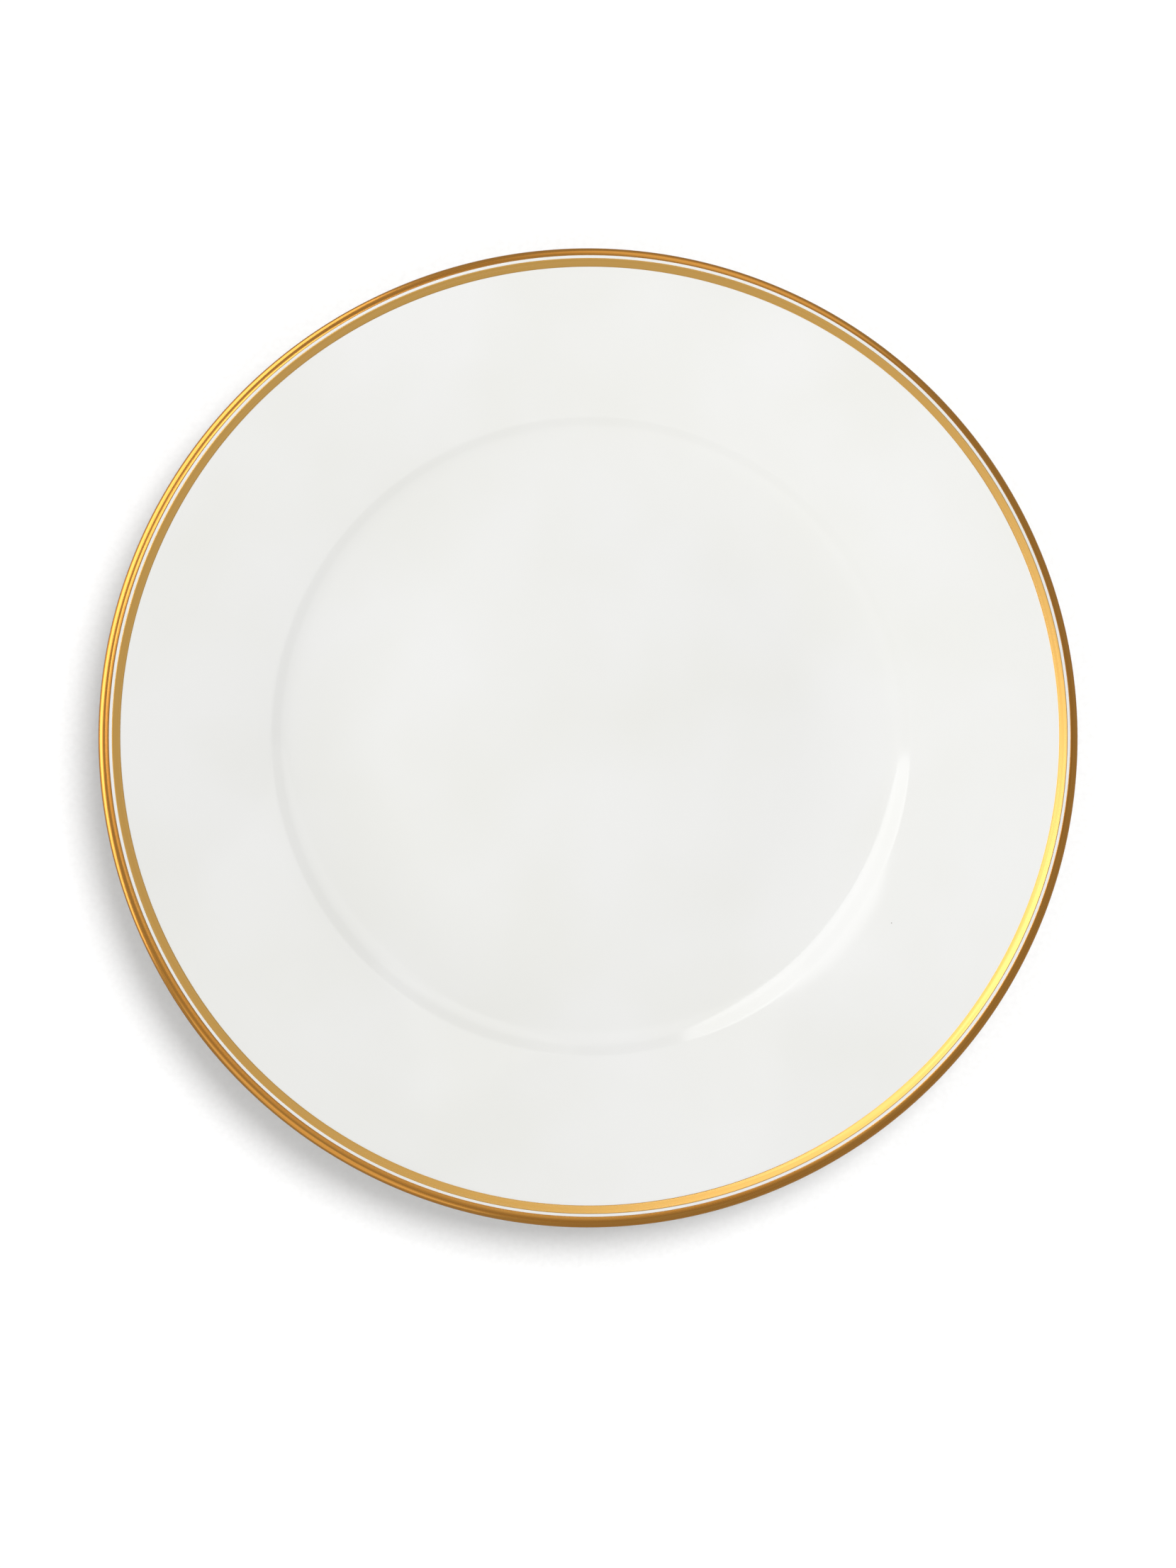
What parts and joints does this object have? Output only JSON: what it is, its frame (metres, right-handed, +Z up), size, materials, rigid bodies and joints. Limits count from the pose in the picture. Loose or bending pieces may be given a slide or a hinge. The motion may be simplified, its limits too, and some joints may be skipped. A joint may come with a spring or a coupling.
{
  "type": "dinner plate",
  "caption": "Round porcelain dinner plate with a shallow well, a broad sloping rim, a gilded lip, a gilt line inside it and a foot ring.",
  "frame": {"origin": "on the surface the plate stands on, under the plate's centre", "axes": "+Z up along the plate's axis; X and Y lie in the surface it stands on, and the plate is the same all round"},
  "size_m": [0.27, 0.27, 0.021],
  "materials": {
    "biscuit_porcelain": "matte",
    "clear_glaze": "gloss",
    "fired_gold": "satin"
  },
  "bodies": {
    "root": {"porcelain_body": "biscuit_porcelain", "glaze_coat": "clear_glaze", "foot_well_glaze": "clear_glaze", "edge_gold_band": "fired_gold", "inner_gold_band": "fired_gold"}
  },
  "joints": []
}
